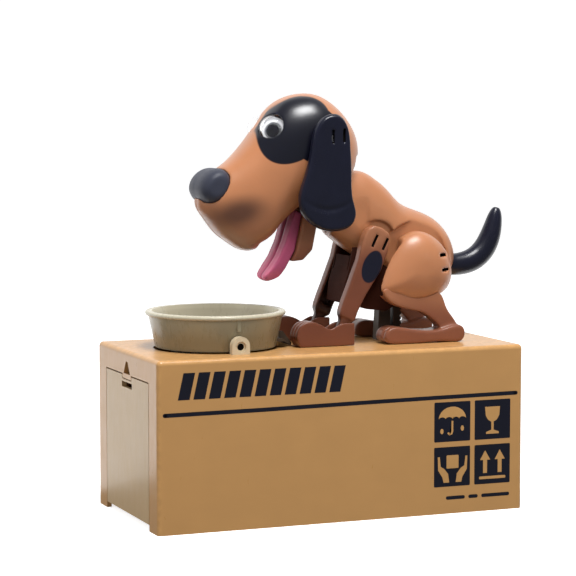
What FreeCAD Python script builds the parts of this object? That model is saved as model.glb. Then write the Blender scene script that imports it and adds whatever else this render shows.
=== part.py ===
"""Battery dog coin bank: a dog on a printed box bows to a tilting dish of coins.

Row frame: +X towards the tail end, -Y towards the printed front, +Z up,
origin at the centre of the box's bottom. Millimetres.
"""
import FreeCAD
import Part
import math
import os

V = FreeCAD.Vector
os.makedirs("parts", exist_ok=True)

# ---- driving dimensions -------------------------------------------------
BOX_L = 175.0
BOX_D = 85.0
BOX_H = 75.3
WALL = 2.2
BASE_Z0 = 0.0
BASE_T = 2.0

DOOR_W = 60.0
DOOR_Z0 = 2.8
DOOR_Z1 = 64.2
DOOR_HINGE = (-84.9, 6.2)

BOWL_X = -45.6
BOWL_R_TOP = 30.6
BOWL_R_BOT = 27.2
BOWL_Z0 = 76.0
BOWL_Z1 = 92.0
BOWL_PIVOT_Z = 78.6
WELL_R = 28.0

HIP = (58.0, 112.0)
NECK = (5.0, 150.0)
JAW = (2.0, 140.0)
SHOULDER = (28.0, 122.0)
EAR_PIVOT = (1.2, 169.0)

CAM = (43.0, 36.0)
CAM_RISE = 4.17
CAM_R_REST = 20.0
ROLLER_R = 3.5
IDLER = (17.4, 36.0)
MOTOR = (17.4, 21.6)
DRIVE_PIN = (44.4, 104.0)
PIN_FIT = 0.05


# ---- small builders -----------------------------------------------------
def box(x0, x1, y0, y1, z0, z1):
    return Part.makeBox(x1 - x0, y1 - y0, z1 - z0, V(x0, y0, z0))


def cyl_y(x, z, r, y0, y1):
    return Part.makeCylinder(r, y1 - y0, V(x, y0, z), V(0, 1, 0))


def cyl_z(x, y, r, z0, z1):
    return Part.makeCylinder(r, z1 - z0, V(x, y, z0), V(0, 0, 1))


def poly_y(points, y0, y1):
    ring = [V(x, y0, z) for x, z in points]
    wire = Part.makePolygon(ring + [ring[0]])
    return Part.Face(wire).extrude(V(0, y1 - y0, 0))


def smooth_wire(points, y):
    curve = Part.BSplineCurve()
    curve.interpolate([V(x, y, z) for x, z in points], PeriodicFlag=True)
    return Part.Wire([curve.toShape()])


def smooth_y(points, y0, y1):
    return Part.Face(smooth_wire(points, y0)).extrude(V(0, y1 - y0, 0))


def scaled(points, centre, k):
    cx, cz = centre
    return [(cx + (x - cx) * k, cz + (z - cz) * k) for x, z in points]


def pillow(points, centre, levels):
    wires = [smooth_wire(scaled(points, centre, k), y) for y, k in levels]
    return Part.makeLoft(wires, True, False)


def ring_x(x, z0, z1, w, power):
    count = 20
    zc = (z0 + z1) / 2
    h = (z1 - z0) / 2
    pts = []
    for i in range(count):
        a = 2 * math.pi * i / count
        c = math.cos(a)
        s = math.sin(a)
        y = w * math.copysign(abs(c) ** (2 / power), c)
        z = h * math.copysign(abs(s) ** (2 / power), s)
        pts.append(V(x, y, zc + z))
    curve = Part.BSplineCurve()
    curve.interpolate(pts, PeriodicFlag=True)
    return Part.Wire([curve.toShape()])


def barrel(sections, power=2.3, inset=0.0, trim=0):
    rows = sections[trim:len(sections) - trim] if trim else sections
    wires = [ring_x(x, z0 + inset, z1 - inset, w - inset, power)
             for x, z0, z1, w in rows]
    return Part.makeLoft(wires, True, False)


def turned(shape, centre, degrees):
    out = shape.copy()
    out.rotate(V(centre[0], 0, centre[1]), V(0, -1, 0), degrees)
    return out


def mirrored(shape):
    return shape.mirror(V(0, 0, 0), V(0, 1, 0))


# ---- box ----------------------------------------------------------------
def paw_slot(side):
    y0, y1 = (-16.8, -11.8) if side < 0 else (11.8, 16.8)
    return box(-1.6, 13.4, y0, y1, BOX_H - 6, BOX_H + 1)


def make_box_shell():
    hl = BOX_L / 2
    hd = BOX_D / 2
    body = box(-hl, hl, -hd, hd, 0, BOX_H)
    edges = [e for e in body.Edges if e.BoundBox.ZMin > 1 or e.BoundBox.ZLength > 10]
    body = body.makeFillet(2.0, edges)
    body = body.cut(box(-hl + WALL, hl - WALL, -hd + WALL, hd - WALL, -1, BOX_H - WALL))
    half = DOOR_W / 2 + 0.5
    body = body.cut(box(-hl - 1, -hl + WALL + 1, -half, half, -1, DOOR_Z1 + 0.6))
    notch = Part.makeCone(1.2, 5.0, 6.0, V(-hl + 0.2, 0, DOOR_Z1 + 6.3), V(0, 0, -1))
    body = body.cut(notch)
    for y0, y1 in ((-35.5, -half), (half, 35.5)):
        post = box(-hl + 1, -81.4, y0, y1, BASE_Z0 + BASE_T + 0.1, 11.0)
        body = body.fuse(post)
    body = body.cut(cyl_y(DOOR_HINGE[0], DOOR_HINGE[1], 1.3 + PIN_FIT, -34.0, 34.0))
    body = body.cut(cyl_z(BOWL_X, 0, WELL_R, BOX_H - 5, BOX_H + 1))
    body = body.cut(box(-24, -16.2, -13.4, 13.4, BOX_H - 5, BOX_H + 1))
    body = body.cut(box(-24, -11.4, -9.5, 9.5, BOX_H - 5, BOX_H + 1))
    for side in (-1, 1):
        body = body.cut(paw_slot(side))
    body = body.cut(box(34.0, 39.6, -3.0, 3.0, BOX_H - 5, BOX_H + 1))
    body = body.cut(box(39.5, 45.5, -3.0, 3.0, BOX_H - 5, BOX_H + 1))
    for x in (-79, 79):
        for y in (-36, 36):
            column = cyl_z(x, y, 3.4, BASE_Z0 + BASE_T + 0.02, BOX_H - 1)
            bore = cyl_z(x, y, 1.25, BASE_Z0 + BASE_T - 1, 26)
            body = body.fuse(column).cut(bore)
    body = body.fuse(box(-hl, -hl + 1.4, -6.1, 6.1, 62.8, DOOR_Z1 + 0.8))
    return body.removeSplitter()


def make_base_plate():
    hl = BOX_L / 2 - WALL - 0.15
    hd = BOX_D / 2 - WALL - 0.15
    z0 = BASE_Z0
    z1 = BASE_Z0 + BASE_T
    body = box(-81.2, hl, -hd, hd, z0, z1)
    for x in (-79, 79):
        for y in (-36, 36):
            body = body.cut(cyl_z(x, y, 1.6, z0 - 1, z1 + 1))
            body = body.cut(cyl_z(x, y, 3.1, z0 - 1, z0 + 0.9))
    bay = box(51.6, 85.1, -31, 31, z1, 16.5)
    bay = bay.cut(box(52.8, 84.6, -29.5, 29.5, z1 - 1, 20))
    body = body.fuse(bay)
    body = body.cut(box(53.5, 83.5, -28, 28, z0 - 1, z1 + 1))
    return body.removeSplitter()


def make_battery_cover():
    z0 = BASE_Z0
    body = box(53.8, 83.2, -27.7, 27.7, z0, z0 + 1.6)
    grip = [box(79.2 - 1.6 * i, 80.0 - 1.6 * i, -8, 8, z0 - 0.1, z0 + 0.4) for i in range(4)]
    for g in grip:
        body = body.cut(g)
    return body


def make_batteries():
    cells = []
    for x, flip in ((60.6, 1), (76.0, -1)):
        can = cyl_y(x, 12.2, 7.1, -24.6, 24.6)
        can = can.makeFillet(0.6, can.Edges)
        tip = cyl_y(x, 12.2, 2.7, 24.4, 25.8) if flip > 0 else cyl_y(x, 12.2, 2.7, -25.8, -24.4)
        cells.append(can.fuse(tip).removeSplitter())
    return Part.makeCompound(cells)


def make_battery_contacts():
    plates = []
    for y0, y1 in ((-27.6, -27.2), (27.2, 27.6)):
        plates.append(box(54.5, 82.5, y0, y1, 6, 17))
    for x, y0, y1 in ((60.6, -27.2, -24.8), (76.0, 24.8, 27.2)):
        outer = cyl_y(x, 12.2, 3.4, y0, y1)
        plates.append(outer.cut(cyl_y(x, 12.2, 2.6, y0 - 1, y1 + 1)))
    near = plates[0].fuse(plates[2])
    far = plates[1].fuse(plates[3])
    return Part.makeCompound([near, far])


def make_base_screws():
    screws = []
    for x in (-79, 79):
        for y in (-36, 36):
            head = cyl_z(x, y, 2.8, BASE_Z0 + 0.1, BASE_Z0 + 0.9)
            cross = box(x - 1.8, x + 1.8, y - 0.4, y + 0.4, BASE_Z0, BASE_Z0 + 0.5)
            cross = cross.fuse(box(x - 0.4, x + 0.4, y - 1.8, y + 1.8, BASE_Z0, BASE_Z0 + 0.5))
            shank = cyl_z(x, y, 1.25, BASE_Z0 + 0.9, 16)
            screws.append(head.cut(cross).fuse(shank).removeSplitter())
    return Part.makeCompound(screws)


def make_coin_door():
    x0 = -BOX_L / 2
    hx, hz = DOOR_HINGE
    half = DOOR_W / 2
    body = box(x0, x0 + WALL, -half, half, DOOR_Z0, DOOR_Z1)
    body = body.cut(box(x0 - 1, x0 + 3, -7.2, 7.2, 58.8, 61.3))
    rim = box(x0 + WALL, x0 + 4.2, -half + 2, half - 2, 9.5, 57.0)
    rim = rim.cut(box(x0 + 1, x0 + 5, -half + 3.6, half - 3.6, 11.1, 55.4))
    body = body.fuse(rim)
    body = body.cut(box(x0 - 1, x0 + 3, -6.5, 6.5, 62.4, DOOR_Z1 + 1))
    hook = box(x0 + 1.8, x0 + 3.4, -5, 5, 61.3, 62.3)
    knuckle = cyl_y(hx, hz, 2.5, -half, half)
    body = body.fuse(knuckle)
    pins = cyl_y(hx, hz, 1.3, -33.2, 33.2)
    body = body.fuse(pins).fuse(hook)
    return body.removeSplitter()


def make_coin_divider():
    return box(-7.0, -5.4, -40.1, 40.1, BASE_Z0 + BASE_T + 0.02, BOX_H - WALL - 0.1)


# ---- coin dish ----------------------------------------------------------
def make_bowl():
    t = 1.9
    outer = Part.makeCone(BOWL_R_BOT, BOWL_R_TOP, BOWL_Z1 - BOWL_Z0, V(BOWL_X, 0, BOWL_Z0))
    inner = Part.makeCone(BOWL_R_BOT - t, BOWL_R_TOP - t + 0.3, BOWL_Z1 - BOWL_Z0,
                          V(BOWL_X, 0, BOWL_Z0 + t))
    bead = Part.makeTorus(BOWL_R_TOP - 0.1, 1.05, V(BOWL_X, 0, BOWL_Z1 - 0.9))
    body = outer.fuse(bead).cut(inner)
    for y0, y1 in ((-30.2, -26.4), (26.4, 30.2)):
        rib = box(BOWL_X - 0.8, BOWL_X + 0.8, y0, y1, 85.2, BOWL_Z1 - 2)
        body = body.fuse(rib.cut(inner))
    body = body.cut(box(BOWL_X + 20, BOWL_X + 32, -13, 13, BOWL_Z0 + t, BOWL_Z0 + 7.5))
    body = body.cut(cyl_y(BOWL_X, BOWL_PIVOT_Z, 1.5, -32, 32).cut(inner))
    return body.removeSplitter()


def make_bowl_spout():
    z = BOWL_Z0 + 1.9
    lip = poly_y([(-22.5, z), (-22.5, z + 1.4), (-18.2, z + 1.4), (-16.4, z + 0.4), (-17.2, z)], -12.6, 12.6)
    tongue = poly_y([(-20.0, z), (-20.0, z + 1.4), (-16.5, z + 1.4), (-12.4, z - 1.2), (-12.9, z - 2.2),
                     (-17.2, z)], -9.0, 9.0)
    lip = lip.fuse(tongue)
    for y0, y1 in ((-9.0, -7.8), (7.8, 9.0)):
        cheek = poly_y([(-18.2, z + 1), (-18.6, z + 4.4), (-16.6, z + 4.2), (-12.6, z - 1.0)], y0, y1)
        lip = lip.fuse(cheek)
    return lip.removeSplitter()


def make_bowl_pins():
    pins = [cyl_y(BOWL_X, BOWL_PIVOT_Z, 1.5, -31.6, -26.4), cyl_y(BOWL_X, BOWL_PIVOT_Z, 1.5, 26.4, 31.6)]
    return Part.makeCompound(pins)


def make_bowl_brackets():
    blocks = []
    for y0, y1, out in ((-32.5, -29.1, -35.0), (29.1, 32.5, 31.8)):
        body = cyl_y(BOWL_X, BOWL_PIVOT_Z + 0.4, 4.1, y0, y1)
        body = body.fuse(box(BOWL_X - 4.1, BOWL_X + 4.1, y0, y1, BOX_H + 0.02, BOWL_PIVOT_Z + 0.4))
        body = body.cut(box(BOWL_X - 9, BOWL_X + 9, -40, 40, 60, BOX_H + 0.02))
        body = body.cut(cyl_y(BOWL_X, BOWL_PIVOT_Z, 1.5 + PIN_FIT, -40, 40))
        mouth = cyl_y(BOWL_X, BOWL_PIVOT_Z, 2.4, out, out + 3.2)
        blocks.append(body.cut(mouth).removeSplitter())
    return Part.makeCompound(blocks)


def make_bowl_weight():
    body = cyl_z(BOWL_X - 14, 0, 7.0, BOWL_Z0 - 3.2, BOWL_Z0 - 0.02)
    return body.makeFillet(0.5, body.Edges)


# ---- drive --------------------------------------------------------------
def gear(centre, teeth, module, y0, y1, bore, phase=0.0, slack=0.10):
    r_pitch = module * teeth / 2
    r_tip = r_pitch + module * 0.85
    r_root = r_pitch - module * 1.25
    pts = []
    step = 2 * math.pi / teeth
    half_root = step * 0.36
    half_pitch = step * 0.25 - slack / r_pitch
    half_tip = step * 0.11
    for i in range(teeth):
        a = phase + i * step
        for r, da in ((r_root, -half_root), (r_pitch, -half_pitch), (r_tip, -half_tip),
                      (r_tip, half_tip), (r_pitch, half_pitch), (r_root, half_root)):
            pts.append((centre[0] + r * math.cos(a + da), centre[1] + r * math.sin(a + da)))
    body = poly_y(pts, y0, y1)
    return body.cut(cyl_y(centre[0], centre[1], bore, y0 - 1, y1 + 1))


def cam_profile():
    cx, cz = CAM
    gap = ROLLER_R + 0.3
    pitch = []
    for i in range(-6, 43):
        a = math.radians(5.0 * i)
        r = CAM_R_REST - CAM_RISE * math.degrees(a) / 180.0
        pitch.append((r, a))
    out = []
    for r, a in pitch:
        slope = -CAM_RISE / math.pi
        norm = math.hypot(r, slope)
        t = math.pi / 2 + a
        ur = (math.cos(t), math.sin(t))
        ut = (-math.sin(t), math.cos(t))
        n = ((r * ur[0] - slope * ut[0]) / norm, (r * ur[1] - slope * ut[1]) / norm)
        out.append((cx + r * ur[0] - gap * n[0], cz + r * ur[1] - gap * n[1]))
    return out


def make_cam_gear():
    bore = 2.0 + PIN_FIT
    body = gear(CAM, 48, 0.8, 4.2, 7.2, bore)
    spiral = cam_profile()
    tail = [(CAM[0] + 9 * math.cos(a), CAM[1] + 9 * math.sin(a))
            for a in (math.radians(330), math.radians(360), math.radians(20))]
    cam = poly_y(spiral + tail, -2.6, 4.2)
    cam = cam.cut(cyl_y(CAM[0], CAM[1], bore, -4, 8))
    body = body.fuse(cam)
    for k in range(4):
        a = math.radians(45 + 90 * k)
        body = body.cut(cyl_y(CAM[0] + 11.5 * math.cos(a), CAM[1] + 11.5 * math.sin(a), 2.6, 4.5, 8))
    return body.removeSplitter()


def make_idler_gear():
    bore = 1.5 + PIN_FIT
    small = gear(IDLER, 16, 0.8, 3.6, 8.4, bore, math.pi / 16)
    large = gear(IDLER, 36, 0.6, 8.4, 11.0, bore)
    return small.fuse(large).removeSplitter()


def make_motor_rotor():
    shaft = cyl_y(MOTOR[0], MOTOR[1], 1.0, -23.0, 11.8)
    pinion = gear(MOTOR, 12, 0.6, 8.2, 11.2, 0.9, math.radians(75.0))
    return pinion.fuse(shaft).removeSplitter()


def make_motor():
    x, z = MOTOR
    can = cyl_y(x, z, 10.0, -22.0, 0.6)
    can = can.common(box(x - 12, x + 12, -30, 10, z - 7.6, z + 7.6))
    neck = cyl_y(x, z, 3.0, 0.6, 2.2)
    tail = cyl_y(x, z, 3.0, -23.2, -22.0)
    body = can.fuse(neck).fuse(tail)
    body = body.cut(cyl_y(x, z, 1.0 + PIN_FIT, -30, 10))
    return body.removeSplitter()


def gear_plate(y0, y1, motor_hole):
    plate = box(4.0, 58.0, y0, y1, BASE_Z0 + BASE_T + 0.02, 65.0)
    plate = plate.cut(box(46.0, 60.0, y0 - 1, y1 + 1, 0, 21.0))
    plate = plate.cut(box(3.0, 32.0, y0 - 1, y1 + 1, 50.0, 66.0))
    foot = box(4.0, 46.0, y0 - 4.0 if y0 < 0 else y0, y1 if y0 < 0 else y1 + 4.0,
               BASE_Z0 + BASE_T + 0.02, BASE_Z0 + BASE_T + 1.6)
    plate = plate.fuse(foot)
    plate = plate.cut(cyl_y(CAM[0], CAM[1], 2.0, y0 - 1, y1 + 1))
    plate = plate.cut(cyl_y(IDLER[0], IDLER[1], 1.5, y0 - 1, y1 + 1))
    if motor_hole:
        plate = plate.cut(box(MOTOR[0] - 10.3, MOTOR[0] + 10.3, y0 - 5, y1 + 1,
                              MOTOR[1] - 7.9, MOTOR[1] + 7.9))
    return plate.removeSplitter()


def make_gear_plate_near():
    return gear_plate(-7.0, -5.5, True)


def make_gear_plate_far():
    return gear_plate(12.6, 14.1, False)


def make_gear_shafts():
    return Part.makeCompound([
        cyl_y(CAM[0], CAM[1], 2.0, -7.4, 14.5),
        cyl_y(IDLER[0], IDLER[1], 1.5, -7.4, 14.5),
    ])


def make_motor_clamp():
    x, z = MOTOR
    band = box(x - 12.4, x + 12.4, -16.0, -11.0, BASE_Z0 + BASE_T + 0.02, z + 9.6)
    band = band.cut(box(x - 10.25, x + 10.25, -17, -10, z - 7.8, z + 7.8))
    return band


def make_rod_guide():
    body = box(36.0, 50.0, -5.4, 12.5, 62.2, 64.7)
    body = body.cut(box(40.6, 45.4, -3.0, 3.0, 50, 66))
    return body


def make_push_rod():
    x = CAM[0]
    z_roll = CAM[1] + CAM_R_REST
    stem = box(x - 2.0, x + 2.0, -2.5, 2.5, z_roll + 5.4, 99.0)
    fork = box(x - 2.0, x + 2.0, -2.5, 2.5, z_roll - 1.8, z_roll + 5.6)
    fork = fork.cut(box(x - 3.0, x + 3.0, -1.4, 1.4, z_roll - 3.0, z_roll + 4.2))
    px, pz = DRIVE_PIN
    head = box(px - 3.4, px + 7.0, -2.0, 2.0, 98.0, 109.0)
    head = head.cut(box(px - 1.9, px + 5.5, -3.0, 3.0, pz - 1.9, pz + 1.9))
    body = stem.fuse(fork).fuse(head)
    body = body.fuse(cyl_y(x, z_roll, 1.2, -2.5, 2.5))
    for k in range(8):
        z = 79.0 + 2.3 * k
        body = body.cut(box(x + 1.5, x + 3.0, -3.0, 3.0, z, z + 1.0))
    return body.removeSplitter()


def make_rod_roller():
    z_roll = CAM[1] + CAM_R_REST
    wheel = cyl_y(CAM[0], z_roll, ROLLER_R, -1.2, 1.2)
    return wheel.cut(cyl_y(CAM[0], z_roll, 1.2 + PIN_FIT, -2, 2))


def make_support_post():
    body = box(34.2, 39.4, -2.8, 2.8, 66.0, 97.5)
    flange = box(31.6, 39.4, -6.0, 6.0, 70.6, BOX_H - WALL - 0.02)
    taper = poly_y([(34.2, 97.5), (32.9, BOX_H + 0.02), (34.2, BOX_H + 0.02)], -2.8, 2.8)
    return body.fuse(flange).fuse(taper).removeSplitter()


def make_circuit_board():
    return box(65.0, 84.6, -26.0, 26.0, 40.0, 41.6)


def make_board_posts():
    posts = []
    for x in (68.0, 81.0):
        for y in (-22.5, 22.5):
            posts.append(cyl_z(x, y, 2.0, 41.62, BOX_H - WALL - 0.02))
    return Part.makeCompound(posts)


# ---- hind legs and paws -------------------------------------------------
THIGH = [
    (26.0, 100.2), (28.6, 108.6), (33.6, 117.6), (40.0, 124.0), (47.2, 126.2), (55.0, 123.4),
    (61.2, 116.8), (64.0, 108.0), (62.0, 100.0), (55.6, 95.6), (48.0, 93.4), (40.5, 93.6),
    (33.0, 96.0),
]
THIGH_C = (48.0, 109.5)
THIGH_IN = 11.0
THIGH_MID = 15.0
THIGH_OUT = 24.8
THIGH_LEG_GAP = 17.7


def thigh_levels():
    levels = [(-THIGH_IN, 0.93), (-THIGH_IN - 2.0, 0.99), (-THIGH_MID, 1.0)]
    for part in (0.22, 0.42, 0.6, 0.75, 0.86, 0.94, 0.98):
        y = THIGH_MID + (THIGH_OUT - THIGH_MID) * part
        levels.append((-y, math.sqrt(1.0 - part * part)))
    return levels


def make_thigh(side):
    body = pillow(THIGH, THIGH_C, thigh_levels())
    body = body.cut(box(15.0, 38.5, -THIGH_LEG_GAP, 0, 90, 135))
    for x, z in ((57.2, 115.2), (58.0, 108.6)):
        body = body.cut(box(x - 2.1, x + 2.1, -30, -THIGH_OUT + 7.0, z - 0.65, z + 0.65))
    body = body.cut(cyl_y(HIP[0], HIP[1], 2.0, -19.5, -5))
    return body if side < 0 else mirrored(body)


def make_hind_leg(side):
    shank = smooth_y([(27.8, 98.8), (30.0, 95.8), (34.0, 93.0), (38.0, 91.5), (42.6, 90.3), (47.6, 89.0),
                      (52.4, 86.0), (56.2, 82.0), (58.4, 78.6), (62.4, 78.2), (65.0, 80.6), (64.8, 83.6),
                      (62.4, 87.2), (59.4, 91.8), (57.2, 97.0), (50.0, 101.0), (36.0, 102.0)], -20.8, -13.2)
    foot_line = [(28.0, 78.4), (29.0, 81.6), (32.6, 83.2), (38.0, 82.6), (48.0, 81.2), (56.0, 81.4),
                 (62.4, 83.0), (66.6, 82.6), (68.2, 79.2), (67.0, 76.2), (60.0, 75.5), (46.0, 75.45),
                 (33.0, 75.5), (29.0, 76.4)]
    foot = smooth_y(foot_line, -23.0, -11.2)
    foot = foot.common(box(20, 75, -30, 0, BOX_H + 0.02, 90))
    for y in (-19.2, -15.0):
        foot = foot.cut(box(24.0, 32.6, y - 0.4, y + 0.4, 78.0, 86.0))
    body = foot.fuse(shank)
    thigh_block = pillow(THIGH, THIGH_C, thigh_levels())
    body = body.cut(thigh_block)
    body = max(body.Solids, key=lambda s: s.Volume)
    return body if side < 0 else mirrored(body)


def make_paw(side):
    line = [(-13.6, 79.2), (-12.8, 83.4), (-10.4, 86.0), (-7.4, 86.8), (-3.8, 86.2), (-0.6, 84.6),
            (2.6, 83.2), (5.6, 84.4), (9.0, 85.6), (14.5, 85.6), (14.5, 75.0), (-11.8, 75.0)]
    top = Part.BSplineCurve()
    top.interpolate([V(x, 0, z) for x, z in line[:9]])
    crown = [(p.x, p.z) for p in top.discretize(33)]
    body = poly_y(crown + line[9:], -18.9, -9.8)
    body = body.common(box(-20, 20, -30, 0, BOX_H + 0.02, 95))
    for y in (-15.9, -12.8):
        body = body.cut(box(-17.0, -7.6, y - 0.45, y + 0.45, 78.5, 90.0))
    body = body.cut(box(-1.6, 13.4, -16.8, -11.8, 70, 95))
    body = body.cut(box(-1.6, 16.0, -17.6, -11.2, 75.0, 95))
    body = max(body.Solids, key=lambda s: s.Volume)
    return body if side < 0 else mirrored(body)


def make_front_leg(side):
    dx = -17.4
    dz = -36.0
    length = math.hypot(dx, dz)
    ux = dx / length
    uz = dz / length
    sx, sz = SHOULDER

    def at(s, w):
        return (sx + ux * s - uz * w, sz + uz * s + ux * w)
    outline = [at(-5.8, -1.6), at(-5.4, -5.4), at(-2.8, -7.9), at(1.2, -8.3), at(7.0, -7.4), at(12.0, -6.2),
               at(18.6, -5.7), at(25.0, -5.2), at(31.7, -4.8), at(35.7, -4.4), at(38.0, -3.8), at(40.0, -2.1),
               at(47.0, -2.1), at(47.0, 2.1), at(40.0, 2.3), at(37.8, 4.2), at(33.0, 3.8), at(26.0, 4.0),
               at(18.8, 5.0), at(12.0, 6.2), at(2.7, 5.3), at(-2.1, 4.4), at(-5.0, 2.4)]
    upper = poly_y(outline, -17.2, -11.6)
    foot_end = poly_y([at(38.2, -9), at(60, -9), at(60, 9), at(38.2, 9)], -30, 0)
    keep = foot_end.common(box(-40, 60, -16.3, -12.3, 40, 140))
    thin = upper.common(keep)
    body = upper.cut(foot_end).fuse(thin)
    hollow = poly_y([at(9.0, -5.0), at(18.6, -4.2), at(34.0, -3.2), at(34.0, 2.4), at(26.0, 2.5),
                     at(18.8, 3.5), at(9.0, 4.6)], -15.6, -11.0)
    body = body.cut(hollow)
    for s, w, t in ((1.0, -2.7, 0.6), (0.2, 2.6, 0.6)):
        cut = poly_y([at(s - 3.0, w - t), at(s + 3.0, w - t), at(s + 3.0, w + t), at(s - 3.0, w + t)],
                     -30, -16.2)
        body = body.cut(cut)
    body = body.cut(cyl_y(sx, sz, 1.75 + PIN_FIT, -15.6, 0))
    body = body.removeSplitter()
    return body if side < 0 else mirrored(body)


# ---- torso --------------------------------------------------------------
TORSO = [
    (1.0, 132.0, 152.0, 6.0), (5.0, 127.0, 155.6, 8.6), (10.0, 123.0, 156.0, 10.6),
    (16.0, 118.5, 154.6, 11.5), (22.0, 114.5, 152.8, 12.1), (29.0, 109.0, 150.6, 12.7),
    (36.0, 104.0, 146.2, 13.1), (43.0, 100.5, 139.2, 13.3), (50.0, 99.0, 135.8, 13.3),
    (57.0, 99.0, 133.2, 13.0), (62.6, 100.5, 129.8, 12.0), (67.0, 103.5, 125.0, 9.8),
    (70.2, 108.0, 119.0, 6.2),
]


def torso_side_pocket():
    cuts = [box(-10, 24.5, -30, -11.4, 128.0, 170.0)]
    grown = scaled(THIGH, THIGH_C, 1.06)
    for a in (0, 4, 8, 12, 16, 20):
        cuts.append(turned(smooth_y(grown, -30, -THIGH_IN + 0.6), HIP, -a))
    sx, sz = SHOULDER
    for a in (0, 5, 10, 15, 20, 25.7):
        arm = box(sx - 9.2, sx + 9.2, -30, -11.1, sz - 45, sz)
        arm = arm.fuse(cyl_y(sx, sz, 9.2, -30, -11.1))
        cuts.append(turned(arm, SHOULDER, -25.8 - a))
    return cuts


def torso_half(side):
    outer = barrel(TORSO)
    inner = barrel(TORSO, inset=2.0, trim=1)
    body = outer.cut(inner)
    half = body.common(box(-20, 90, -30, -0.01, 60, 180))
    for y0, y1, c, r in ((-10.3, -0.01, HIP, 5.0), (-9.5, -0.01, NECK, 4.4), (-11.1, -0.01, SHOULDER, 4.4)):
        half = half.fuse(cyl_y(c[0], c[1], r, y0, y1).common(outer))
    web = box(40.0, 49.0, -8.5, -4.4, 100.5, 112.0).common(outer)
    for cut in torso_side_pocket():
        half = half.cut(cut)
    plate = outer.common(box(-20, 90, -10.4, -8.4, 60, 180))
    half = half.fuse(plate)
    half = half.cut(box(26.0, 54.0, -6.6, 1, 90, 106.5))
    half = half.cut(box(28.0, 52.9, -4.3, 1, 90, 117.0))
    half = half.cut(box(-5.0, 8.0, -30, 1, 100, 145.4))
    half = half.fuse(web)
    half = half.cut(cyl_y(HIP[0], HIP[1], 2.0 + PIN_FIT, -30, 5))
    half = half.cut(cyl_y(NECK[0], NECK[1], 1.5 + PIN_FIT, -30, 5))
    half = half.cut(cyl_y(SHOULDER[0], SHOULDER[1], 1.75, -30, 5))
    half = half.cut(cyl_y(DRIVE_PIN[0], DRIVE_PIN[1], 1.5, -7.0, 1))
    half = half.removeSplitter()
    solid = max(half.Solids, key=lambda s: s.Volume)
    return solid if side < 0 else mirrored(solid)


def make_belly_cover():
    line = [(17.5, 119.0), (15.8, 110.4), (13.6, 102.7), (12.4, 94.0), (24.5, 90.6), (34.0, 89.5),
            (40.0, 92.5), (45.0, 99.0), (45.0, 104.0), (30.0, 112.0), (22.0, 119.0)]
    inner = [(17.4, 122.0), (16.2, 109.6), (15.2, 102.4), (14.2, 86.0), (60.0, 86.0), (60.0, 122.0)]
    body = poly_y(line, -9.5, 9.5).cut(poly_y(inner, -8.0, 8.0))
    for side in (-1, 1):
        for k in range(8):
            y = side * 8.0
            x = 16.4 + 3.3 * k
            rib = poly_y([(x, 120.0), (x + 1.3, 120.0), (x - 1.9, 88.0), (x - 3.2, 88.0)], y - 0.5, y + 0.5)
            body = body.cut(rib)
    body = body.cut(barrel(TORSO))
    return max(body.Solids, key=lambda s: s.Volume)


def make_drive_pin():
    return cyl_y(DRIVE_PIN[0], DRIVE_PIN[1], 1.5, -7.0, 7.0)


def make_hip_pin():
    return cyl_y(HIP[0], HIP[1], 2.0, -19.4, 19.4)


def make_neck_pin():
    return cyl_y(NECK[0], NECK[1], 1.5, -14.5, 14.5)


def make_shoulder_pin():
    return cyl_y(SHOULDER[0], SHOULDER[1], 1.75, -15.4, 15.4)


def make_tail():
    path = [(67.6, 110.4, 4.9), (75.0, 109.2, 5.2), (82.6, 111.0, 5.4), (88.4, 115.5, 5.3),
            (91.9, 121.6, 4.9), (93.9, 128.2, 4.0), (94.9, 133.0, 2.8), (95.4, 135.4, 1.3)]
    wires = []
    for i, (x, z, r) in enumerate(path):
        a = path[max(i - 1, 0)]
        b = path[min(i + 1, len(path) - 1)]
        d = V(b[0] - a[0], 0, b[1] - a[1])
        d.normalize()
        wires.append(Part.Wire([Part.makeCircle(r, V(x, 0, z), d)]))
    body = Part.makeLoft(wires, True, False)
    body = body.cut(barrel(TORSO))
    return max(body.Solids, key=lambda s: s.Volume)


# ---- head ---------------------------------------------------------------
HEAD = [
    (-54.5, 138.5, 145.0, 3.0), (-52.5, 135.0, 149.0, 6.6), (-49.0, 130.5, 152.5, 10.0),
    (-44.0, 125.0, 155.8, 12.8), (-38.0, 120.8, 160.2, 14.4), (-33.0, 118.4, 165.4, 15.2),
    (-28.0, 118.6, 171.6, 15.8), (-23.0, 121.5, 178.6, 16.8), (-17.0, 127.5, 184.6, 18.2),
    (-10.0, 134.5, 187.8, 19.4), (-2.0, 139.5, 188.8, 19.8), (6.0, 142.0, 186.4, 19.2),
    (12.4, 144.5, 181.4, 17.2), (17.2, 148.5, 175.6, 13.6), (20.2, 155.0, 168.5, 8.6),
]
NOSE_C = (-48.2, 147.8)
EYE = (-20.3, -7.5, 172.6)
EYE_R = 6.7
EYE_DIR = V(-0.60, -0.74, 0.30)


def nose_solid():
    line = [(-55.6, 147.2), (-54.2, 142.2), (-51.8, 140.2), (-46.2, 141.0), (-41.4, 146.0), (-40.9, 150.6),
            (-42.8, 154.4), (-46.0, 155.6), (-50.2, 154.6), (-54.0, 151.2)]
    levels = [(-12.0, 0.42), (-10.9, 0.74), (-7.6, 0.95), (0.0, 1.0), (7.6, 0.95), (10.9, 0.74), (12.0, 0.42)]
    return pillow(line, NOSE_C, levels)


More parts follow.
